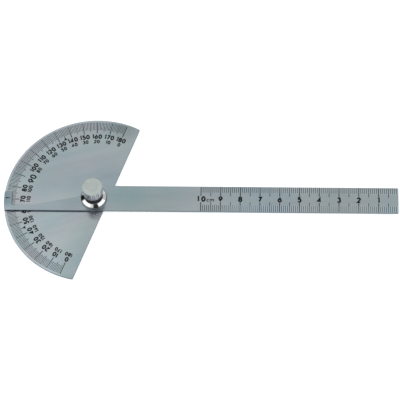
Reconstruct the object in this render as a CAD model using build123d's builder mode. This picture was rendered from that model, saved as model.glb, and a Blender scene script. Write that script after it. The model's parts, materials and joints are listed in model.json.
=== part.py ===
from build123d import *
from math import asin, cos, degrees, pi, radians, sin, sqrt, tan
import os

# A 0 to 180 degree protractor: a flat head plate with the degree scale, a long blade that
# swings over it on a shouldered stud, and a knurled thumb nut that clamps the two.
# Millimetres, +Z up out of the scale faces, +X along the blade to the zero end of its scale.
# The origin is on the pivot axis, at the flat underside of the stud's head.

# Head plate, a segment of a disc about the pivot
arc_radius = 46.0
base_offset = 6.9
head_thickness = 1.0
head_corner = 0.5
reading_at_rest = 70.6

# Blade, measured from the pivot axis
blade_reach = 154.4
blade_width = 14.3
blade_thickness = 1.0
blade_tip_corner = 0.4

# Tail of the blade: round end, tapered finger, rail, reading window and pointer strip, whose
# outer edge is flush with the arc of the head
taper_root_height = 1.0
taper_root_fillet = 1.5
window_start = 30.7
rail_width = 3.1
pointer_width = 4.1
pointer_height = 3.7
pointer_corner = 0.9
window_corner = 0.5

# Broken edges of the two sheets, and the film of air that lets one slide over the other
edge_break = 0.08
sheet_gap = 0.05

# Pivot stud
stud_head_radius = 4.5
stud_head_thickness = 0.8
stud_head_round = 0.3
shoulder_radius = 3.0
shoulder_drop = 0.1
thread_radius = 2.5
thread_pitch = 0.8
thread_depth = 0.49
thread_end_space = 1.0
running_clearance = 0.05

# Friction washer
washer_radius = 5.2
washer_thickness = 0.3
washer_bore_clearance = 0.1

# Thumb nut, heights measured up from its seat
nut_height = 12.3
flange_radius = 6.65
flange_rim_height = 0.8
flange_edge_round = 0.2
flange_slope = 26
neck_radius = 4.25
neck_blend = 0.8
knob_radius = 5.1
knob_height = 6.2
knob_edge_bevel = 0.4
knob_crown_lip = 0.25
knob_crown_width = 1.9
knob_crown_drop = 0.4
nut_bore_depth = 9.0
nut_mouth_chamfer = 0.3

# Straight knurl on the knob
knurl_pitch = 0.8
knurl_depth = 0.2
knurl_gap = 0.2

# Levels of the stack, from the underside up
head_bottom = stud_head_thickness
head_top = head_bottom + head_thickness
blade_bottom = head_top + sheet_gap
blade_top = blade_bottom + blade_thickness
nut_seat = blade_top + washer_thickness
thread_end = nut_seat + nut_bore_depth - thread_end_space

half_width = blade_width / 2
tail_radius = arc_radius
rail_top = rail_width - half_width
pointer_inner = tail_radius - pointer_width
turn = radians(reading_at_rest)
head_plane = Plane(
    origin=(0, 0, head_bottom),
    x_dir=(cos(turn), sin(turn), 0),
    z_dir=(0, 0, 1),
)


# Head plate: local +X runs to the 180 mark and local +Y to the 90 mark
base_angle = degrees(asin(base_offset / arc_radius))
with BuildPart() as head_plate:
    with BuildSketch(head_plane) as head_outline:
        with BuildLine():
            rim = CenterArc((0, 0), arc_radius, -base_angle, 180 + 2 * base_angle)
            Line(rim @ 1, rim @ 0)
        make_face()
        fillet(head_outline.vertices(), radius=head_corner)
        Circle(shoulder_radius, mode=Mode.SUBTRACT)
    extrude(amount=head_thickness)
    rim_wires = head_plate.faces().filter_by(Axis.Z).wires().group_by(SortBy.LENGTH)[-1]
    chamfer(rim_wires.edges(), length=edge_break)
head_plate.part.label = "head_plate"


# Blade: one sheet from the zero end to the hooked pointer strip beyond the degree scale
pointer_top_x = -sqrt(tail_radius**2 - pointer_height**2)
pointer_low_x = -sqrt(tail_radius**2 - half_width**2)
pointer_top_angle = degrees(asin(pointer_height / tail_radius))
pointer_low_angle = degrees(asin(half_width / tail_radius))
pointer_sweep = pointer_top_angle + pointer_low_angle
root_angle = degrees(asin(taper_root_height / half_width))
with BuildPart() as blade:
    with BuildSketch(Plane.XY.offset(blade_bottom)) as blade_outline:
        with BuildLine():
            round_end = CenterArc((0, 0), half_width, 90, 90 - root_angle)
            Polyline(
                round_end @ 1,
                (-window_start, rail_top),
                (-pointer_inner, rail_top),
                (-pointer_inner, pointer_height),
                (pointer_top_x, pointer_height),
            )
            CenterArc((0, 0), tail_radius, 180 - pointer_top_angle, pointer_sweep)
            Polyline(
                (pointer_low_x, -half_width),
                (blade_reach, -half_width),
                (blade_reach, half_width),
                round_end @ 0,
            )
        make_face()
        fillet(blade_outline.vertices().group_by(Axis.X)[-1], radius=blade_tip_corner)
        root = blade_outline.vertices().sort_by_distance(round_end @ 1)[0]
        fillet(root, radius=taper_root_fillet)
        window = blade_outline.vertices().sort_by_distance((-pointer_inner, rail_top))[0]
        fillet(window, radius=window_corner)
        hook = blade_outline.vertices().sort_by_distance((-pointer_inner, pointer_height))[0]
        fillet(hook, radius=window_corner)
        tip_top = blade_outline.vertices().sort_by_distance((pointer_top_x, pointer_height))[0]
        fillet(tip_top, radius=pointer_corner)
        tip_low = blade_outline.vertices().sort_by_distance((pointer_low_x, -half_width))[0]
        fillet(tip_low, radius=pointer_corner)
        Circle(shoulder_radius + running_clearance, mode=Mode.SUBTRACT)
    extrude(amount=blade_thickness)
    outline_wires = blade.faces().filter_by(Axis.Z).wires().group_by(SortBy.LENGTH)[-1]
    chamfer(outline_wires.edges(), length=edge_break)
blade.part.label = "blade"


# Pivot stud: flat head under the plate, shoulder through both sheets, a groove one pitch long
# where the thread runs out, and the threaded end
shoulder_end = blade_top - shoulder_drop
thread_start = shoulder_end + thread_pitch
thread_root = thread_radius - thread_depth
with BuildPart() as pivot_stud:
    with BuildSketch(Plane.XZ) as stud_profile:
        with BuildLine():
            Polyline(
                (0, 0),
                (stud_head_radius, 0),
                (stud_head_radius, stud_head_thickness),
                (shoulder_radius, stud_head_thickness),
                (shoulder_radius, shoulder_end),
                (thread_root, shoulder_end),
                (thread_root, thread_start - thread_depth),
                (thread_radius, thread_start),
                (thread_radius, thread_end - thread_depth),
                (thread_root, thread_end),
                (0, thread_end),
                close=True,
            )
        make_face()
        head_rim = stud_profile.vertices().sort_by_distance((stud_head_radius, 0))[0]
        fillet(head_rim, radius=stud_head_round)
    revolve(axis=Axis.Z)
pivot_stud.part.label = "pivot_stud"


# Friction washer: turns with the nut, so that the nut doesn't drag the blade round
with BuildPart() as friction_washer:
    with BuildSketch(Plane.XY.offset(blade_top)):
        Circle(washer_radius)
        Circle(thread_radius + washer_bore_clearance, mode=Mode.SUBTRACT)
    extrude(amount=washer_thickness)
friction_washer.part.label = "friction_washer"


# Thumb nut: conical flange, neck and knurled knob with a crowned top, bored blind from below
nut_bore_radius = thread_radius + running_clearance
cone_rise = (flange_radius - neck_radius) * tan(radians(flange_slope))
cone_top = nut_seat + flange_rim_height + cone_rise
knob_base = nut_seat + nut_height - knob_height
nut_top = nut_seat + nut_height
crown_foot = nut_top - knob_crown_drop
knurl_count = round(2 * pi * knob_radius / knurl_pitch)
groove_width = knurl_pitch - knurl_gap
with BuildPart() as thumb_nut:
    with BuildSketch(Plane.XZ) as nut_profile:
        with BuildLine():
            Polyline(
                (0, nut_seat + nut_bore_depth),
                (nut_bore_radius, nut_seat + nut_bore_depth),
                (nut_bore_radius, nut_seat + nut_mouth_chamfer),
                (nut_bore_radius + nut_mouth_chamfer, nut_seat),
                (flange_radius, nut_seat),
                (flange_radius, nut_seat + flange_rim_height),
                (neck_radius, cone_top),
                (neck_radius, knob_base),
                (knob_radius - knob_edge_bevel, knob_base),
                (knob_radius, knob_base + knob_edge_bevel),
                (knob_radius, crown_foot - knob_crown_lip),
                (knob_radius - knob_crown_lip, crown_foot),
                (knob_radius - knob_crown_width, nut_top),
                (0, nut_top),
                close=True,
            )
        make_face()
        rim_corners = nut_profile.vertices().group_by(Axis.X)[-1]
        fillet(rim_corners, radius=flange_edge_round)
        cone_end = nut_profile.vertices().sort_by_distance((neck_radius, cone_top))[0]
        fillet(cone_end, radius=neck_blend)
    revolve(axis=Axis.Z)
    with BuildSketch(Plane.XY.offset(knob_base)):
        with PolarLocations(knob_radius, knurl_count):
            Polygon(
                (-knurl_depth, 0),
                (knurl_depth, -groove_width),
                (knurl_depth, groove_width),
                align=None,
            )
    extrude(amount=knob_height, mode=Mode.SUBTRACT)
thumb_nut.part.label = "thumb_nut"


os.makedirs("parts", exist_ok=True)
for piece in (head_plate, blade, pivot_stud, friction_washer, thumb_nut):
    export_step(piece.part, f"parts/{piece.part.label}.step")
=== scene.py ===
"""Looks for a 0 to 180 degree protractor: engraved satin steel sheets, a threaded stud and a plated nut.

Lengths are in metres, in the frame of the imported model: +X along the blade to the zero end of its
scale, +Z up out of the scale faces, origin on the pivot axis under the stud's head. Values of the flat
drawings and of the pieces' details are in millimetres, and are scaled when they go into a mesh or a
material.
"""

import json
from math import atan2, ceil, cos, hypot, pi, radians, sin

import bmesh
import bpy
from mathutils import Matrix, Vector
from mathutils.geometry import delaunay_2d_cdt

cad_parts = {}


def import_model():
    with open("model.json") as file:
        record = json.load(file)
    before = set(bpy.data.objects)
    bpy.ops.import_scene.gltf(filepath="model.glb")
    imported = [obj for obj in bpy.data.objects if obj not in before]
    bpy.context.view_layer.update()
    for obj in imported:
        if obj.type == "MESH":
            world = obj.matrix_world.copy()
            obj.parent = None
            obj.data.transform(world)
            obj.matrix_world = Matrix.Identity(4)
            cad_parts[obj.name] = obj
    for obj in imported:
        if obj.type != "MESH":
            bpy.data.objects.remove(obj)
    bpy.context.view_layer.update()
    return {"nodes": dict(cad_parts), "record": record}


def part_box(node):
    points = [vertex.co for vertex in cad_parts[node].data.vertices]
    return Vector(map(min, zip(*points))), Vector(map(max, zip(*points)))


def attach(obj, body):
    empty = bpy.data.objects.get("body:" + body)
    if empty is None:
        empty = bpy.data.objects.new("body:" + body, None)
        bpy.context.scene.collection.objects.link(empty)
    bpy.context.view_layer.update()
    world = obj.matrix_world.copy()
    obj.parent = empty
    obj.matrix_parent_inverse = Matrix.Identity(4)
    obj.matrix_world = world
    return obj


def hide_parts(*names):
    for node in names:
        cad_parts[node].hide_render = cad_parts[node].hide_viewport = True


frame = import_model()
MM = 0.001

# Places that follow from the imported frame
HEAD_LOW, HEAD_TOP = (corner.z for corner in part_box("head_plate"))
BLADE_LOW_CORNER, BLADE_HIGH_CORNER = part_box("blade")
BLADE_TOP = BLADE_HIGH_CORNER.z
BLADE_REACH = BLADE_HIGH_CORNER.x / MM
HALF_WIDTH = BLADE_HIGH_CORNER.y / MM
TAIL_RADIUS = -BLADE_LOW_CORNER.x / MM
EDGE_AXIS = next(m["axis"] for m in frame["record"]["mounts"] if m["name"] == "base_edge")
HEAD_TURN = atan2(EDGE_AXIS[0], -EDGE_AXIS[1])
NUT_LOW, NUT_HIGH = (corner.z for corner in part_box("thumb_nut"))
STUD_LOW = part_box("pivot_stud")[0].z

# Camera, as the photograph was taken: angles in degrees, the aim on the plate's top face
CAMERA_AZIMUTH = 5.87
CAMERA_ELEVATION = 62.28
CAMERA_ROLL = -4.71
CAMERA_DISTANCE = 1.1186
CAMERA_AIM = (0.05394, -0.00005)
CAMERA_LENS = 198.2


def camera():
    """The photograph's camera, aimed at a point of the plate's top face."""
    azimuth, elevation = radians(CAMERA_AZIMUTH), radians(CAMERA_ELEVATION)
    back = Vector((sin(azimuth) * cos(elevation), -cos(azimuth) * cos(elevation), sin(elevation)))
    roll = radians(CAMERA_ROLL)
    right = (-back).cross(Vector((0, 0, 1))).normalized()
    up = right.cross(-back)
    rolled_right = cos(roll) * right + sin(roll) * up
    rolled_up = -sin(roll) * right + cos(roll) * up
    data = bpy.data.cameras.new("camera")
    data.lens = CAMERA_LENS
    obj = bpy.data.objects.new("camera", data)
    bpy.context.scene.collection.objects.link(obj)
    aim = Vector((CAMERA_AIM[0], CAMERA_AIM[1], HEAD_TOP))
    turn = Matrix((rolled_right, rolled_up, back)).transposed().to_4x4()
    obj.matrix_world = Matrix.Translation(aim + back * CAMERA_DISTANCE) @ turn
    bpy.context.scene.camera = obj


def arc(cx, cy, rx, ry, start, end, steps=12):
    """Points on an ellipse, from one angle to another in degrees."""
    angles = [radians(start + (end - start) * i / steps) for i in range(steps + 1)]
    return [(cx + rx * cos(a), cy + ry * sin(a)) for a in angles]


def ring(cx, cy, rx, ry):
    """A closed ellipse, whose last point is the first again."""
    return arc(cx, cy, rx, ry, 90, 450, 24)


# Characters, drawn in a cell one unit high: the width of each and its strokes as lists of points
GLYPHS = {
    "0": (0.60, [ring(0.30, 0.5, 0.30, 0.5)]),
    "1": (0.20, [[(0.0, 0.80), (0.18, 1.0), (0.18, 0.0)]]),
    "2": (0.56, [arc(0.28, 0.73, 0.27, 0.27, 172, -38) + [(0.0, 0.0), (0.58, 0.0)]]),
    "3": (0.54, [arc(0.26, 0.76, 0.23, 0.24, 160, -90), arc(0.26, 0.26, 0.28, 0.26, 90, -160)]),
    "4": (0.62, [[(0.47, 0.0), (0.47, 1.0), (0.0, 0.26), (0.64, 0.26)]]),
    "5": (0.56, [[(0.52, 1.0), (0.13, 1.0), (0.07, 0.50)], arc(0.27, 0.32, 0.29, 0.32, 138, -150)]),
    "6": (0.58, [[(0.44, 1.0), (0.07, 0.44)], ring(0.29, 0.30, 0.29, 0.30)]),
    "7": (0.56, [[(0.0, 1.0), (0.56, 1.0), (0.14, 0.0)]]),
    "8": (0.56, [ring(0.28, 0.76, 0.23, 0.24), ring(0.28, 0.26, 0.28, 0.26)]),
    "9": (0.58, [[(0.14, 0.0), (0.51, 0.56)], ring(0.29, 0.70, 0.29, 0.30)]),
    "c": (0.50, [arc(0.28, 0.30, 0.28, 0.30, 50, 310)]),
    "m": (
        0.86,
        [
            [(0.0, 0.0), (0.0, 0.60)],
            [(0.0, 0.36)] + arc(0.215, 0.385, 0.215, 0.215, 180, 0, 8) + [(0.43, 0.0)],
            [(0.43, 0.36)] + arc(0.645, 0.385, 0.215, 0.215, 180, 0, 8) + [(0.86, 0.0)],
        ],
    ),
}

# The longest that a corner of a line may reach, in half widths of the line, and how near the last point
# of a closed line is to its first
MITRE_LIMIT = 2
SAME_POINT = 1e-6


def ribbon(points, width):
    """Quadrilaterals that give a line its width, mitred where it turns, with square ends."""
    line = [Vector(p) for p in points]
    closed = (line[0] - line[-1]).length < SAME_POINT
    legs = [(b - a).normalized() for a, b in zip(line, line[1:])]
    sides = []
    for i, point in enumerate(line):
        before = legs[i - 1] if i > 0 or closed else legs[0]
        after = legs[i] if i < len(legs) else (legs[0] if closed else legs[-1])
        along = (before + after).normalized()
        reach = width / 2 / max(1 / MITRE_LIMIT, along.dot(after))
        across = Vector((-along.y, along.x)) * reach
        sides.append((point + across, point - across))
    return [[low_a, low_b, high_b, high_a] for (high_a, low_a), (high_b, low_b) in zip(sides, sides[1:])]


def placed(polygons, centre, angle=0.0):
    """Polygons turned by an angle and then moved, so that their own origin lies on the centre."""
    c, s = cos(angle), sin(angle)
    cx, cy = centre
    return [[(cx + c * x - s * y, cy + s * x + c * y) for x, y in polygon] for polygon in polygons]


def lettering(words, height, stroke, gap=0.0):
    """Polygons of a word centred on the origin, with its strokes inside the stated height."""
    scale = height - stroke
    widths = [GLYPHS[char][0] * scale for char in words]
    pen = -(sum(widths) + (gap + stroke) * (len(words) - 1)) / 2
    polygons = []
    for char, width in zip(words, widths):
        for line in GLYPHS[char][1]:
            points = [(pen + x * scale, (y - 0.5) * scale) for x, y in line]
            polygons += ribbon(points, stroke)
        pen += width + gap + stroke
    return polygons


def bar(start, end, width):
    """One straight mark as a polygon."""
    return ribbon([start, end], width)[0]


def rank(number):
    """The largest of 10, 5 and 1 that a number is a multiple of, which its tick is drawn by."""
    return next(step for step in (10, 5, 1) if number % step == 0)


# Widths of the ticks on both scales, in millimetres, as are all sizes of the scales
TICK_WIDTHS = {1: 0.27, 5: 0.31, 10: 0.41}

# Degree scale of the head plate: the 0 mark at the plate's left and the 180 mark at its right, with two
# rows of numbers that run opposite ways, and the 90 alone in the middle
LAST_DEGREE = 180
TICK_OUTER = 44.9
TICK_ENDS = {1: 40.25, 5: 39.4, 10: 38.3}
NUMBER_GAP = 0.12
OUTER_NUMBER_RADIUS = 36.4
OUTER_NUMBER_HEIGHT = 2.8
OUTER_STROKE = 0.71
INNER_NUMBER_RADIUS = 33.5
INNER_NUMBER_HEIGHT = 2.2
INNER_STROKE = 0.55
MIDDLE_NUMBER_RADIUS = 34.3
MIDDLE_NUMBER_HEIGHT = 3.5
MIDDLE_STROKE = 0.74
MIDDLE_GAP = 0.2
MARKED_ANGLES = (45, 135)
MARK_RADIUS = 38.6
MARK_SIZE = 0.9
MARK_FOOT = 0.72


def degree_marks():
    """The ticks, both rows of numbers and the two marks between them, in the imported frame."""
    marks = []
    for degree in range(LAST_DEGREE + 1):
        angle = HEAD_TURN + radians(LAST_DEGREE - degree)
        step = rank(degree)
        outward = Vector((cos(angle), sin(angle)))
        marks.append(bar(outward * TICK_ENDS[step], outward * TICK_OUTER, TICK_WIDTHS[step]))
        upright = angle - pi / 2
        if degree == LAST_DEGREE / 2:
            word = lettering(str(degree), MIDDLE_NUMBER_HEIGHT, MIDDLE_STROKE, MIDDLE_GAP)
            marks += placed(word, outward * MIDDLE_NUMBER_RADIUS, upright)
        elif step == 10:
            word = lettering(str(degree), OUTER_NUMBER_HEIGHT, OUTER_STROKE, NUMBER_GAP)
            marks += placed(word, outward * OUTER_NUMBER_RADIUS, upright)
            word = lettering(str(LAST_DEGREE - degree), INNER_NUMBER_HEIGHT, INNER_STROKE, NUMBER_GAP)
            marks += placed(word, outward * INNER_NUMBER_RADIUS, upright)
        if degree in MARKED_ANGLES:
            triangle = [(0, MARK_SIZE), (-MARK_SIZE, -MARK_FOOT), (MARK_SIZE, -MARK_FOOT)]
            marks += placed([triangle], outward * MARK_RADIUS, upright)
    return marks


# Length scale of the blade, read from its square end
EDGE_MARGIN = 0.2
UPPER_TICKS = {1: 3.5, 5: 5.5, 10: 5.4}
LOWER_TICKS = {1: 3.7, 5: 5.5, 10: 5.4}
BLADE_NUMBER_HEIGHT = 3.3
BLADE_STROKE = 0.88
SCALE_LENGTH = 100

# The last number and the unit, placed from the last tick: the two digits stand on both sides of it
LAST_DIGITS = (("1", -1.4), ("0", 1.3))
UNIT_PLACE = (4.8, -0.35)
UNIT_HEIGHT = 2.5
UNIT_STROKE = 0.42
UNIT_GAP = 0.2


def length_marks():
    """Millimetre ticks on both edges and the centimetre numbers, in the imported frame."""
    marks = []
    edge = HALF_WIDTH - EDGE_MARGIN
    for millimetre in range(1, SCALE_LENGTH + 1):
        x = BLADE_REACH - millimetre
        step = rank(millimetre)
        marks.append(bar((x, HALF_WIDTH - UPPER_TICKS[step]), (x, edge), TICK_WIDTHS[step]))
        marks.append(bar((x, -edge), (x, LOWER_TICKS[step] - HALF_WIDTH), TICK_WIDTHS[step]))
        if step == 10 and millimetre < SCALE_LENGTH:
            marks += placed(lettering(str(millimetre // 10), BLADE_NUMBER_HEIGHT, BLADE_STROKE), (x, 0))
    last = BLADE_REACH - SCALE_LENGTH
    for digit, offset in LAST_DIGITS:
        marks += placed(lettering(digit, BLADE_NUMBER_HEIGHT, BLADE_STROKE), (last + offset, 0))
    unit = lettering("cm", UNIT_HEIGHT, UNIT_STROKE, UNIT_GAP)
    return marks + placed(unit, (last + UNIT_PLACE[0], UNIT_PLACE[1]))


# Index line, from the pointer's outer edge inwards: it narrows towards the scale
INDEX_START = 0.85
INDEX_START_WIDTH = 0.74
INDEX_END = 3.3
INDEX_END_WIDTH = 0.24
INDEX_DROP = 0.25


def index_mark():
    """The one line on the pointer strip that the degrees are read against."""
    start, end = INDEX_START - TAIL_RADIUS, INDEX_END - TAIL_RADIUS
    wide, narrow = INDEX_START_WIDTH / 2, INDEX_END_WIDTH / 2
    corners = [(start, wide), (start, -wide), (end, -narrow), (end, narrow)]
    return placed([corners], (0, -INDEX_DROP))


def boundary_loops(faces):
    """Closed loops of vertices round a set of faces."""
    chosen = set(faces)
    edges = [e for f in faces for e in f.edges if sum(g in chosen for g in e.link_faces) == 1]
    links = {}
    for edge in edges:
        for a, b in (edge.verts, reversed(edge.verts)):
            links.setdefault(a, []).append(b)
    loops = []
    while links:
        start = next(iter(links))
        loop = [start]
        following = links.pop(start)[0]
        while following in links:
            loop.append(following)
            ahead = links.pop(following)
            following = ahead[0] if ahead[0] in links else ahead[1]
        loops.append(loop)
    return loops


def anticlockwise(corners, place=tuple):
    """The same corners, listed anticlockwise. place gives the x and y of one."""
    flat = [place(corner) for corner in corners]
    area = sum(a[0] * b[1] - b[0] * a[1] for a, b in zip(flat, flat[1:] + flat[:1]))
    return list(corners) if area > 0 else list(reversed(corners))


def add_piece(name, mesh):
    """A new object for a mesh, in the scene."""
    obj = bpy.data.objects.new(name, mesh)
    bpy.context.scene.collection.objects.link(obj)
    return obj


def finished_piece(work, name, sharp):
    """A new object of a working mesh: smooth, but sharp where it turns by more than an angle in degrees."""
    work.normal_update()
    for face in work.faces:
        face.smooth = True
    for edge in work.edges:
        edge.smooth = len(edge.link_faces) == 2 and edge.calc_face_angle(pi) < radians(sharp)
    mesh = bpy.data.meshes.new(name)
    work.to_mesh(mesh)
    work.free()
    return add_piece(name, mesh)


# Engraving: its depth in millimetres, and how near two places in metres count as one or as level
ENGRAVE_DEPTH = 0.04
WELD_DISTANCE = 1e-7
LEVEL_WITHIN = 1e-6

# The drawing is cut into the triangles inside its outlines. Its points merge within a distance in
# millimetres.
INSIDE_TRIANGLES = 1
MERGE_WITHIN = 1e-5

# Material slots of an engraved sheet: its faces, the fill of its marks and its sheared edges
FACES, FILL, SHEARED = range(3)

# A face whose normal rises less than this isn't part of the flat top or bottom
FLAT_NORMAL = 0.9

# Turns in degrees past which an edge of a sheet or of the stud is sharp
SHEET_SHARP = 30
STUD_SHARP = 40


def open_top(work, top):
    """Takes the flat top off a working mesh. Gives the loops of vertices left round it, outermost first."""
    faces = [f for f in work.faces if all(abs(v.co.z - top) < LEVEL_WITHIN for v in f.verts)]
    rims = [anticlockwise(loop, lambda v: v.co) for loop in boundary_loops(faces)]
    rims.sort(key=lambda rim: -max(v.co.xy.length for v in rim))
    bmesh.ops.delete(work, geom=faces, context="FACES")
    return rims


def tiles(work, top, rims, marks):
    """Triangles that cover a flat top between its rims, each with whether a mark covers it."""
    outlines = [[v.co.xy / MM for v in rim] for rim in rims]
    outlines += [[Vector(p) for p in anticlockwise(mark)] for mark in marks]
    points, polygons = [], []
    for outline in outlines:
        polygons.append(list(range(len(points), len(points) + len(outline))))
        points += outline
    cut = delaunay_2d_cdt(points, [], polygons, INSIDE_TRIANGLES, MERGE_WITHIN)
    spots, _, triangles, origins, _, covers = cut
    rim_verts = [v for rim in rims for v in rim]
    verts = []
    for spot, origin in zip(spots, origins):
        on_rim = [i for i in origin if i < len(rim_verts)]
        verts.append(rim_verts[on_rim[0]] if on_rim else work.verts.new((spot.x * MM, spot.y * MM, top)))
    made = []
    for triangle, cover in zip(triangles, covers):
        in_hole = any(0 < i < len(rims) for i in cover)
        if 0 in cover and not in_hole:
            made.append(([verts[i] for i in triangle], max(cover) >= len(rims)))
    return made


def engraved(node, marks, name):
    """A copy of a flat CAD node whose top face has recessed marks."""
    work = bmesh.new()
    work.from_mesh(frame["nodes"][node].data)
    bmesh.ops.remove_doubles(work, verts=work.verts, dist=WELD_DISTANCE)
    top = max(v.co.z for v in work.verts)
    sunk = {}
    edges = []
    for corners, marked in tiles(work, top, open_top(work, top), marks):
        if not marked:
            work.faces.new(corners)
            continue
        for corner in corners:
            if corner not in sunk:
                sunk[corner] = work.verts.new(corner.co - Vector((0, 0, ENGRAVE_DEPTH * MM)))
        work.faces.new([sunk[corner] for corner in corners]).material_index = FILL
        edges += zip(corners, corners[1:] + corners[:1])
    shared = set(edges)
    for a, b in edges:
        if (b, a) not in shared:
            work.faces.new((a, b, sunk[b], sunk[a])).material_index = FILL
    bmesh.ops.delete(work, geom=[v for v in work.verts if not v.link_faces], context="VERTS")
    work.normal_update()
    for face in work.faces:
        if face.material_index == FACES and abs(face.normal.z) < FLAT_NORMAL:
            face.material_index = SHEARED
    return finished_piece(work, name, SHEET_SHARP)


# Thread of the stud, in millimetres. Its flanks are this many times as steep as those of a plain V of
# that depth, which leaves flat crests.
THREAD_PITCH = 0.8
THREAD_DEPTH = 0.49
THREAD_STEEPNESS = 1.25
THREAD_STEPS = 48
ROWS_PER_TURN = 8

# In millimetres, the round of the stud head's rim and the least step between two of the stud's radii or
# levels. The level of the stud's end is read to this many decimal places.
STUD_HEAD_ROUND = 0.3
STUD_ROUND_STEPS = 6
STUD_STEP = 0.1
STUD_DIGITS = 4


def thread_row(z, foot, top, root):
    """One row of the thread: the radius at each step round the axis, with the row's height."""
    run_in = min(1, max(0, (z - foot - THREAD_PITCH) / THREAD_DEPTH + 1))
    run_out = min(1, (top - z) / THREAD_DEPTH)
    row = []
    for i in range(THREAD_STEPS):
        phase = ((z - foot) / THREAD_PITCH - i / THREAD_STEPS) % 1
        wave = 1 - abs(2 * phase - 1)
        row.append((root + THREAD_DEPTH * min(wave * THREAD_STEEPNESS, 1) * run_in * run_out, z))
    return row


def skinned(rows):
    """A working mesh through rows of radii and heights, from the bottom up. A row at the axis is a point."""
    work = bmesh.new()
    angles = [2 * pi * i / THREAD_STEPS for i in range(THREAD_STEPS)]
    grid = []
    for row in rows:
        if row[0][0] == 0:
            grid.append([work.verts.new((0, 0, row[0][1] * MM))] * THREAD_STEPS)
            continue
        spots = [(r * cos(a) * MM, r * sin(a) * MM, z * MM) for (r, z), a in zip(row, angles)]
        grid.append([work.verts.new(spot) for spot in spots])
    for low, high in zip(grid, grid[1:]):
        for i in range(THREAD_STEPS):
            j = (i + 1) % THREAD_STEPS
            corners = list(dict.fromkeys((low[i], low[j], high[j], high[i])))
            if len(corners) > 2:
                work.faces.new(corners)
    bmesh.ops.recalc_face_normals(work, faces=work.faces)
    return work


def threaded_stud():
    """The stud with its real helical thread above the shoulder, on the CAD node's own sizes."""
    stud = frame["nodes"]["pivot_stud"].data
    coords = [(hypot(v.co.x, v.co.y) / MM, v.co.z / MM) for v in stud.vertices]
    head_radius = max(r for r, _ in coords)
    head_top = HEAD_LOW / MM
    top = round(max(z for _, z in coords), STUD_DIGITS)
    crest = max(r for r, z in coords if z > BLADE_TOP / MM + STUD_STEP)
    root = crest - THREAD_DEPTH
    shoulder = max(r for r, z in coords if z > head_top + STUD_STEP)
    foot = max(z for r, z in coords if r > crest + STUD_STEP)

    rim = head_radius - STUD_HEAD_ROUND
    profile = [(0, 0), (rim, 0)]
    for i in range(1, STUD_ROUND_STEPS + 1):
        angle = pi / 2 * i / STUD_ROUND_STEPS
        profile.append((rim + STUD_HEAD_ROUND * sin(angle), STUD_HEAD_ROUND * (1 - cos(angle))))
    profile += [(head_radius, head_top), (shoulder, head_top), (shoulder, foot), (root, foot)]
    rows = [[spot] * THREAD_STEPS for spot in profile]
    levels = ceil((top - foot) / THREAD_PITCH * ROWS_PER_TURN)
    for i in range(1, levels + 1):
        rows.append(thread_row(foot + (top - foot) * i / levels, foot, top, root))
    rows.append([(0, top)] * THREAD_STEPS)
    return finished_piece(skinned(rows), "threaded_stud", STUD_SHARP)


# Textures of the materials: cells per metre, detail, and stretch along the X, Y and Z axes
CLOUDS = (26, 4, (1, 1.5, 1))
BLOOM_PATCHES = (70, 3, (0.45, 1, 1))
STREAKS = (190, 3, (0.1, 1, 1))
GRAIN = (2600, 3, (0.03, 1, 1))
SHEAR_LINES = (2400, 3, (1, 1, 0.15))
PAINT_PATCHES = (1500, 2, (1, 1, 1))
METAL_STAINS = (260, 3, (1, 1, 1))
TOOL_RINGS_PER_METRE = 9000

# Roughness of each material, between two values
STEEL_ROUGHNESS = (0.14, 0.22)
SHEARED_ROUGHNESS = (0.3, 0.42)
PAINT_ROUGHNESS = (0.55, 0.7)
TURNED_ROUGHNESS = (0.22, 0.32)

# Relief of each texture: its strength, and its height in metres
GRAIN_RELIEF = (0.10, 0.00001)
SHEAR_RELIEF = (0.2, 0.00002)
TOOL_RELIEF = (0.05, 0.00001)

# Tints of the steels and of the paint, between two colours
HEAD_TINTS = ((0.371, 0.446, 0.473), (0.440, 0.485, 0.495))
BLADE_TINTS = ((0.325, 0.405, 0.438), (0.387, 0.442, 0.46))
# partly painted shade: the cut edges are darker than their steel alone, for the shade along the sheets' edge
# walls
SHEARED_AND_SHADED_TINTS = ((0.11, 0.14, 0.17), (0.20, 0.24, 0.27))
TURNED_TINTS = ((0.50, 0.50, 0.49), (0.60, 0.60, 0.59))
PAINT_TINTS = ((0.004, 0.004, 0.005), (0.012, 0.012, 0.014))
PAINT_GLOSS = 0.2

# What the patches, the streaks and the stains of metal multiply a tint by, between two colours
BLOOM_TINTS = ((0.94, 1.01, 1.01), (1.05, 0.99, 1.01))
STREAK_TINTS = ((0.92, 0.93, 0.935), (1, 1, 1))
METAL_STAIN_TINTS = ((0.93, 0.93, 0.93), (1, 1, 1))

# Strength of the bloom on the two sheets, and the way of the head plate's grain
HEAD_BLOOM = 1.0
BLADE_BLOOM = 0.5
HEAD_GRAIN_TURN = radians(17)

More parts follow.
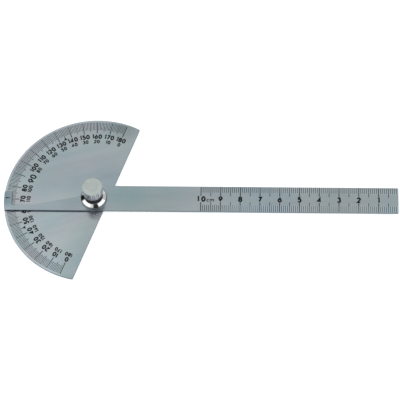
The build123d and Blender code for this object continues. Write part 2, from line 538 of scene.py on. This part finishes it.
# Painted light and shade on the sheets: soft patches that darken the tint where the sheet mirrors less light,
# as round the nut and on the pointer strip, and lighten it where it mirrors more. Each has its centre and
# reach in millimetres, and what it multiplies the tint by
HEAD_PAINTED_LIGHT = [
    ((7, 13), 16, (0.84, 0.92, 0.94)),
    ((-26, -20), 36, (1.26, 1.205, 1.195)),
    ((14, 41), 12, (0.74, 0.765, 0.745)),
    ((0, -20), 16, (0.98, 0.95, 0.945)),
    ((-27, 3), 14, (0.88, 0.98, 1.0)),
    ((-20, -38), 9, (1.12, 1.14, 1.17)),
    ((-39, 10), 11, (1.10, 1.09, 1.10)),
    ((-24, 33), 11, (1.08, 1.06, 1.07)),
]
BLADE_PAINTED_LIGHT = [
    ((17, -1), 19, (0.91, 0.97, 0.95)),
    ((30, -7), 26, (0.95, 0.97, 0.94)),
    ((-26, -3), 20, (1.20, 1.13, 1.14)),
    ((124, 0), 44, (0.985, 0.955, 0.92)),
    ((-46, 3), 9, (0.745, 0.835, 0.895)),
    ((-46, -4), 9, (0.84, 0.92, 0.96)),
    ((-44.5, -7.5), 5, (1.45, 1.30, 1.32)),
    ((-38, -6), 8, (1.12, 1.07, 1.06)),
]

# A lighter tint between the ticks, as what it multiplies the tint by. A band fades in between two
# distances in millimetres. On the head plate they are taken from the pivot, and past the 0 to 180
# line. On the blade they are taken from its middle line, and along it for the upper and lower side.
HEAD_LANDS = (1.13, 1.125, 1.145)
HEAD_BAND = (39.8, 40.8)
SCALE_SIDE = (-0.6, 0.2)
BLADE_LANDS = [
    (1, (60, 95), (1.19, 1.165, 1.17)),
    (-1, (60, 76), (1.21, 1.23, 1.26)),
]
BLADE_BAND = (3.0, 3.8)


def new_material(name, metallic=0.0):
    """A material with its shader and node tree, ready to link."""
    material = bpy.data.materials.new(name)
    material.use_nodes = True
    shader = material.node_tree.nodes["Principled BSDF"]
    shader.inputs["Metallic"].default_value = metallic
    return material, material.node_tree, shader


def own_place(tree):
    """The place on the piece, in the piece's own coordinates."""
    return tree.nodes.new("ShaderNodeTexCoord").outputs["Object"]


def noise(tree, scale, detail, stretch, turn=0.0):
    """Noise in the piece's own coordinates, stretched along its grain."""
    mapping = tree.nodes.new("ShaderNodeMapping")
    mapping.inputs["Rotation"].default_value = (0, 0, -turn)
    spread = tree.nodes.new("ShaderNodeMapping")
    spread.inputs["Scale"].default_value = stretch
    texture = tree.nodes.new("ShaderNodeTexNoise")
    texture.inputs["Scale"].default_value = scale
    texture.inputs["Detail"].default_value = detail
    tree.links.new(own_place(tree), mapping.inputs["Vector"])
    tree.links.new(mapping.outputs["Vector"], spread.inputs["Vector"])
    tree.links.new(spread.outputs["Vector"], texture.inputs["Vector"])
    return texture.outputs["Fac"]


def bands(tree, factor, stops):
    """A colour that changes at each stop, given as places from 0 to 1 and colours."""
    made = tree.nodes.new("ShaderNodeValToRGB")
    while len(made.color_ramp.elements) < len(stops):
        made.color_ramp.elements.new(1)
    for element, (place, colour) in zip(made.color_ramp.elements, stops):
        element.position = place
        element.color = (*colour, 1)
    tree.links.new(factor, made.inputs["Fac"])
    return made.outputs["Color"]


def ramp(tree, factor, low, high, start=0.35, end=0.65):
    """A colour that runs between two as a factor runs between two values."""
    return bands(tree, factor, [(start, low), (end, high)])


def span(tree, factor, low, high, start=0.3, end=0.7, easing="LINEAR"):
    """A number that runs between two as a factor runs between two values."""
    made = tree.nodes.new("ShaderNodeMapRange")
    made.interpolation_type = easing
    made.inputs["From Min"].default_value = start
    made.inputs["From Max"].default_value = end
    made.inputs["To Min"].default_value = low
    made.inputs["To Max"].default_value = high
    tree.links.new(factor, made.inputs["Value"])
    return made.outputs["Result"]


def bump(tree, shader, height, strength, distance):
    """Relief from a height, linked to a shader's normal."""
    made = tree.nodes.new("ShaderNodeBump")
    made.inputs["Strength"].default_value = strength
    made.inputs["Distance"].default_value = distance
    tree.links.new(height, made.inputs["Height"])
    tree.links.new(made.outputs["Normal"], shader.inputs["Normal"])


def multiplied(tree, colour, other, amount=1.0):
    """A colour times another, by an amount from 0 to 1. The other and the amount are sockets or values."""
    made = tree.nodes.new("ShaderNodeMix")
    made.data_type = "RGBA"
    made.blend_type = "MULTIPLY"
    tree.links.new(colour, made.inputs["A"])
    for value, socket in ((other, made.inputs["B"]), (amount, made.inputs["Factor"])):
        if isinstance(value, bpy.types.NodeSocket):
            tree.links.new(value, socket)
        else:
            socket.default_value = (*value, 1) if isinstance(value, tuple) else value
    return made.outputs["Result"]


def combined(tree, operation, one, other):
    """Two numbers put together by a sum, a product or the like."""
    made = tree.nodes.new("ShaderNodeMath")
    made.operation = operation
    tree.links.new(one, made.inputs[0])
    tree.links.new(other, made.inputs[1])
    return made.outputs["Value"]


def measured(tree, place, operation, vector):
    """A place's distance from a point, or its way along a direction."""
    made = tree.nodes.new("ShaderNodeVectorMath")
    made.operation = operation
    made.inputs[1].default_value = vector
    tree.links.new(place, made.inputs[0])
    return made.outputs["Value"]


def beyond(tree, operation, vector, start, end):
    """A number that rises from 0 to 1 as a distance on the piece passes from a start to an end."""
    distance = measured(tree, own_place(tree), operation, vector)
    return span(tree, distance, 0, 1, start * MM, end * MM, "SMOOTHSTEP")


def spot(tree, centre, reach):
    """A soft round patch of painted light and shade on the sheet: 1 at its centre and 0 at its reach, both in
    millimetres.
    """
    distance = measured(tree, own_place(tree), "DISTANCE", (centre[0] * MM, centre[1] * MM, BLADE_TOP))
    return span(tree, distance, 1, 0, 0, reach * MM, "SMOOTHSTEP")


def head_lands(tree, tint):
    """The band of the degree ticks, bright between its marks, on the scale's side of the 0 to 180 line."""
    inward = (-EDGE_AXIS[0], -EDGE_AXIS[1], 0)
    band = beyond(tree, "DISTANCE", (0, 0, HEAD_TOP), *HEAD_BAND)
    side = beyond(tree, "DOT_PRODUCT", inward, *SCALE_SIDE)
    return multiplied(tree, tint, HEAD_LANDS, combined(tree, "MULTIPLY", band, side))


def blade_lands(tree, tint):
    """The bands of the millimetre ticks along both edges of the blade, bright between their marks."""
    for across, stretch, colour in BLADE_LANDS:
        band = beyond(tree, "DOT_PRODUCT", (0, across, 0), *BLADE_BAND)
        along = beyond(tree, "DOT_PRODUCT", (1, 0, 0), *stretch)
        tint = multiplied(tree, tint, colour, combined(tree, "MULTIPLY", band, along))
    return tint


def satin_steel(name, tints, bloom, stains_and_painted_light, lands, turn=0.0):
    """Rolled and satin-brushed sheet: two tints in clouds, a faint teal and pink bloom, patches of painted
    light and shade, and a grain.

    The grain runs along the X axis, turned by an angle. lands is the function that brightens the bands
    of the sheet's ticks.
    """
    material, tree, shader = new_material(name, metallic=1.0)
    tint = ramp(tree, noise(tree, *CLOUDS, turn), *tints)
    tint = multiplied(tree, tint, ramp(tree, noise(tree, *BLOOM_PATCHES, turn), *BLOOM_TINTS), bloom)
    tint = multiplied(tree, tint, ramp(tree, noise(tree, *STREAKS, turn), *STREAK_TINTS))
    # painted light and shade: each patch lightens or darkens the tint where it lies
    for centre, reach, colour in stains_and_painted_light:
        tint = multiplied(tree, tint, colour, spot(tree, centre, reach))
    tree.links.new(lands(tree, tint), shader.inputs["Base Color"])
    grain = noise(tree, *GRAIN, turn)
    tree.links.new(span(tree, grain, *STEEL_ROUGHNESS), shader.inputs["Roughness"])
    bump(tree, shader, grain, *GRAIN_RELIEF)
    return material


def sheared_edge():
    """The cut edges of the sheets, rougher than their faces, and darker: partly the cut's duller steel,
    partly painted shade on the edge walls.
    """
    material, tree, shader = new_material("sheared_edge", metallic=1.0)
    lines = noise(tree, *SHEAR_LINES)
    tree.links.new(ramp(tree, lines, *SHEARED_AND_SHADED_TINTS), shader.inputs["Base Color"])
    tree.links.new(span(tree, lines, *SHEARED_ROUGHNESS), shader.inputs["Roughness"])
    bump(tree, shader, lines, *SHEAR_RELIEF)
    return material


def black_fill():
    """Matt black paint that fills the engraving."""
    material, tree, shader = new_material("black_fill")
    patches = noise(tree, *PAINT_PATCHES)
    tree.links.new(ramp(tree, patches, *PAINT_TINTS), shader.inputs["Base Color"])
    tree.links.new(span(tree, patches, *PAINT_ROUGHNESS), shader.inputs["Roughness"])
    shader.inputs["Specular IOR Level"].default_value = PAINT_GLOSS
    return material


def tool_rings(tree, shader):
    """Fine rings left by the lathe about the Z axis."""
    parts = tree.nodes.new("ShaderNodeSeparateXYZ")
    flat = tree.nodes.new("ShaderNodeCombineXYZ")
    tree.links.new(own_place(tree), parts.inputs["Vector"])
    tree.links.new(parts.outputs["X"], flat.inputs["X"])
    tree.links.new(parts.outputs["Y"], flat.inputs["Y"])
    rings = tree.nodes.new("ShaderNodeTexNoise")
    rings.noise_dimensions = "1D"
    rings.inputs["Scale"].default_value = TOOL_RINGS_PER_METRE
    radius = measured(tree, flat.outputs["Vector"], "DISTANCE", (0, 0, 0))
    tree.links.new(radius, rings.inputs["W"])
    bump(tree, shader, rings.outputs["Fac"], *TOOL_RELIEF)


def turned_steel():
    """Plain turned steel of the stud and the washer."""
    material, tree, shader = new_material("turned_steel", metallic=1.0)
    stains_and_painted_light = noise(tree, *METAL_STAINS)
    tree.links.new(ramp(tree, stains_and_painted_light, *TURNED_TINTS), shader.inputs["Base Color"])
    tree.links.new(span(tree, stains_and_painted_light, *TURNED_ROUGHNESS), shader.inputs["Roughness"])
    tool_rings(tree, shader)
    return material


# Finishes of the nut, from its seat up: a tint and a roughness each. The lip and the neck are painted
# shade: a dark line along the rim's top edge, and the dark of the neck's shadowed undercut.
RIM = ((0.66, 0.67, 0.70), 0.10)
# painted shade: a dark line along the top edge of the flange's rim
RIM_EDGE_SHADE = ((0.16, 0.17, 0.19), 0.14)
FLANGE = ((0.82, 0.83, 0.83), 0.06)
# painted shade: the dark of the shadowed undercut between the cone and the knob
NECK_SHADE = ((0.035, 0.033, 0.045), 0.35)
KNURL = ((0.60, 0.605, 0.655), 0.24)
CROWN = ((0.59, 0.65, 0.62), 0.55)
TOP = ((0.51, 0.57, 0.545), 0.26)

# Lengths on the nut, in millimetres: the height over which one finish turns into the next, and how far
# below the cone's end the neck's painted shade reaches
FINISH_CHANGE = 0.12
NECK_SHADE_REACH = 0.72

# The nut's flange lies below this share of its height, and its knob above it
NUT_MIDDLE = 0.4

# In millimetres: a radius outside the nut's bore and inside its neck, and how near a radius is to the
# widest of the rims or to the narrowest of the neck when it counts as a part of them
NUT_OUTSIDE = 3.0
RIM_WITHIN = 0.05
NECK_WITHIN = 0.01


def widest_until(coords):
    """The highest level at which a turned shape is still as wide as it gets."""
    widest = max(r for r, _ in coords)
    return max(z for r, z in coords if r > widest - RIM_WITHIN * MM)


def nut_levels():
    """Heights of the nut's features, as shares of its own height.

    They are the top of the flange's rim, the top of its cone, the knob's underside and the foot of its crown.
    """
    nut = frame["nodes"]["thumb_nut"].data
    coords = [(hypot(v.co.x, v.co.y), v.co.z) for v in nut.vertices]
    outside = [(r, z) for r, z in coords if r > NUT_OUTSIDE * MM]
    middle = NUT_LOW + (NUT_HIGH - NUT_LOW) * NUT_MIDDLE
    flange = [(r, z) for r, z in outside if z < middle]
    knob = [(r, z) for r, z in outside if z > middle]
    neck = min(r for r, _ in flange) + NECK_WITHIN * MM
    cone_top = min(z for r, z in flange if r < neck)
    knob_low = min(z for r, z in knob if r > neck)
    levels = (widest_until(flange), cone_top, knob_low, widest_until(knob))
    return [(z - NUT_LOW) / (NUT_HIGH - NUT_LOW) for z in levels]


def nut_plating():
    """Bright nickel, finished in rings round the nut, with painted shade in two of the rings.

    From the seat up they are a bright rim, a dark lip of painted shade along the rim's top edge, a polished
    cone, a neck painted dark as shade falls in its undercut, a duller knurl, a satin crown and a finer satin
    top.
    """
    material, tree, shader = new_material("nut_plating", metallic=1.0)
    place = own_place(tree)
    height = span(tree, measured(tree, place, "DOT_PRODUCT", (0, 0, 1)), 0, 1, NUT_LOW, NUT_HIGH)
    rim_top, cone_top, knob_low, crown = nut_levels()
    blur = FINISH_CHANGE * MM / (NUT_HIGH - NUT_LOW)
    neck_shade_reach = NECK_SHADE_REACH * MM / (NUT_HIGH - NUT_LOW)
    finishes_and_shade = [RIM, RIM_EDGE_SHADE, RIM_EDGE_SHADE, FLANGE, FLANGE, NECK_SHADE, NECK_SHADE, KNURL, KNURL, CROWN, CROWN, TOP]
    edges = [rim_top - 2 * blur, rim_top - blur, rim_top + blur, rim_top + 2 * blur]
    # the neck's painted shade begins this far below the cone's end
    edges += [cone_top - neck_shade_reach, cone_top - neck_shade_reach + 2 * blur, knob_low - blur, knob_low]
    edges += [crown - blur, crown, 1 - blur / 4, 1]
    tint = bands(tree, height, [(edge, colour) for edge, (colour, _) in zip(edges, finishes_and_shade)])
    stains_and_painted_light = ramp(tree, noise(tree, *METAL_STAINS), *METAL_STAIN_TINTS)
    tree.links.new(multiplied(tree, tint, stains_and_painted_light), shader.inputs["Base Color"])
    dullness = bands(tree, height, [(edge, (dull,) * 3) for edge, (_, dull) in zip(edges, finishes_and_shade)])
    tree.links.new(dullness, shader.inputs["Roughness"])
    tool_rings(tree, shader)
    return material


def dress(obj, *materials):
    """Gives a piece its materials in the order of its slots."""
    for i, material in enumerate(materials):
        if i < len(obj.material_slots):
            obj.material_slots[i].material = material
        else:
            obj.data.materials.append(material)


# Floor: its colour and roughness, its glow as the background, and its size and gap in metres
FLOOR_COLOUR = 0.9
FLOOR_ROUGHNESS = 0.9
FLOOR_GLOW = 0.58
FLOOR_SIZE = 3.0
FLOOR_GAP = 0.0001


def stage_material():
    """A white floor, also where metal mirrors it, that keeps the object's shadow."""
    material, tree, shader = new_material("white_floor")
    shader.inputs["Base Color"].default_value = (FLOOR_COLOUR, FLOOR_COLOUR, FLOOR_COLOUR, 1)
    shader.inputs["Roughness"].default_value = FLOOR_ROUGHNESS
    shader.inputs["Specular IOR Level"].default_value = 0.0
    path = tree.nodes.new("ShaderNodeLightPath")
    seen = combined(tree, "MAXIMUM", path.outputs["Is Camera Ray"], path.outputs["Is Glossy Ray"])
    seen = combined(tree, "MAXIMUM", seen, path.outputs["Is Transmission Ray"])
    shader.inputs["Emission Color"].default_value = (1, 1, 1, 1)
    tree.links.new(span(tree, seen, 0, FLOOR_GLOW, 0, 1), shader.inputs["Emission Strength"])
    return material


def floor():
    """A plain pale floor under the object."""
    mesh = bpy.data.meshes.new("floor")
    half = FLOOR_SIZE / 2
    corners = [(-half, -half, 0), (half, -half, 0), (half, half, 0), (-half, half, 0)]
    mesh.from_pydata(corners, [], [(0, 1, 2, 3)])
    obj = add_piece("floor", mesh)
    obj.location.z = STUD_LOW - FLOOR_GAP
    dress(obj, stage_material())


# Each soft box: its middle, its width and height, and its radiance. All face one point of the object.
SOFT_BOXES = {
    "left_box": ((-0.59, -0.14, 0.77), (0.66, 0.50), 0.42),
    "right_box": ((0.58, -0.09, 0.82), (0.66, 0.54), 0.42),
}
LIT_POINT = Vector((0.03, 0, 0))


def lamps():
    """Soft boxes at both sides, facing the object."""
    for name, (place, size, radiance) in SOFT_BOXES.items():
        data = bpy.data.lights.new(name, "AREA")
        data.shape = "RECTANGLE"
        data.size, data.size_y = size
        data.energy = radiance * pi * size[0] * size[1]
        obj = bpy.data.objects.new(name, data)
        bpy.context.scene.collection.objects.link(obj)
        obj.location = place
        obj.rotation_euler = (LIT_POINT - Vector(place)).to_track_quat("-Z", "Y").to_euler()


# Tent round the object: its levels above and at the horizon, and the heights between which they change
SKY_LEVEL = 0.85
HORIZON_LEVEL = 0.40
HORIZON_HEIGHTS = (0.08, 0.50)

# Duller parts of the tent, each with its direction, half angle in degrees and level: the gap that the
# camera looks through, one behind on the left and a fold behind on the right
OPENINGS = [
    ((0.113, -0.397, 0.911), 12, 0.03),
    ((-0.81, 0.37, 0.46), 13, 0.01),
    ((0.67, 0.46, 0.585), 15, 0.6),
]
OPENING_SOFTNESS = 3


def world():
    """A pale tent with dark gaps, duller towards the horizon.

    It shows as white to the camera, and as the tent to the object.
    """
    made = bpy.data.worlds.new("surrounding")
    bpy.context.scene.world = made
    made.use_nodes = True
    tree = made.node_tree
    place = tree.nodes.new("ShaderNodeTexCoord").outputs["Generated"]
    height = measured(tree, place, "DOT_PRODUCT", (0, 0, 1))
    tent = span(tree, height, HORIZON_LEVEL, SKY_LEVEL, *HORIZON_HEIGHTS)
    for direction, angle, level in OPENINGS:
        towards = measured(tree, place, "DOT_PRODUCT", Vector(direction).normalized())
        edge, full = (cos(radians(angle + side * OPENING_SOFTNESS)) for side in (1, -1))
        opening = span(tree, towards, 0, level, edge, full)
        tree.links.new(tent, opening.node.inputs["To Min"])
        tent = opening
    path = tree.nodes.new("ShaderNodeLightPath")
    shown = span(tree, path.outputs["Is Camera Ray"], 0, 1, 0, 1)
    tree.links.new(tent, shown.node.inputs["To Min"])
    background = tree.nodes["Background"]
    background.inputs["Color"].default_value = (1, 1, 1, 1)
    tree.links.new(shown, background.inputs["Strength"])


def view_settings():
    """Colours come out as they are written."""
    bpy.context.scene.view_settings.view_transform = "Standard"


def main():
    """The stage and light, and then the pieces in their materials."""
    view_settings()
    camera()
    floor()
    lamps()
    world()
    fill, edge = black_fill(), sheared_edge()
    head = engraved("head_plate", degree_marks(), "engraved_head_plate")
    steel = satin_steel("head_steel", HEAD_TINTS, HEAD_BLOOM, HEAD_PAINTED_LIGHT, head_lands, HEAD_GRAIN_TURN)
    dress(head, steel, fill, edge)
    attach(head, "head")
    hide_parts("head_plate")
    blade = engraved("blade", length_marks() + index_mark(), "engraved_blade")
    steel = satin_steel("blade_steel", BLADE_TINTS, BLADE_BLOOM, BLADE_PAINTED_LIGHT, blade_lands)
    dress(blade, steel, fill, edge)
    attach(blade, "blade")
    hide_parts("blade")
    dress(frame["nodes"]["thumb_nut"], nut_plating())
    turned = turned_steel()
    stud = threaded_stud()
    dress(stud, turned)
    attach(stud, "head")
    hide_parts("pivot_stud")
    dress(frame["nodes"]["friction_washer"], turned)


main()
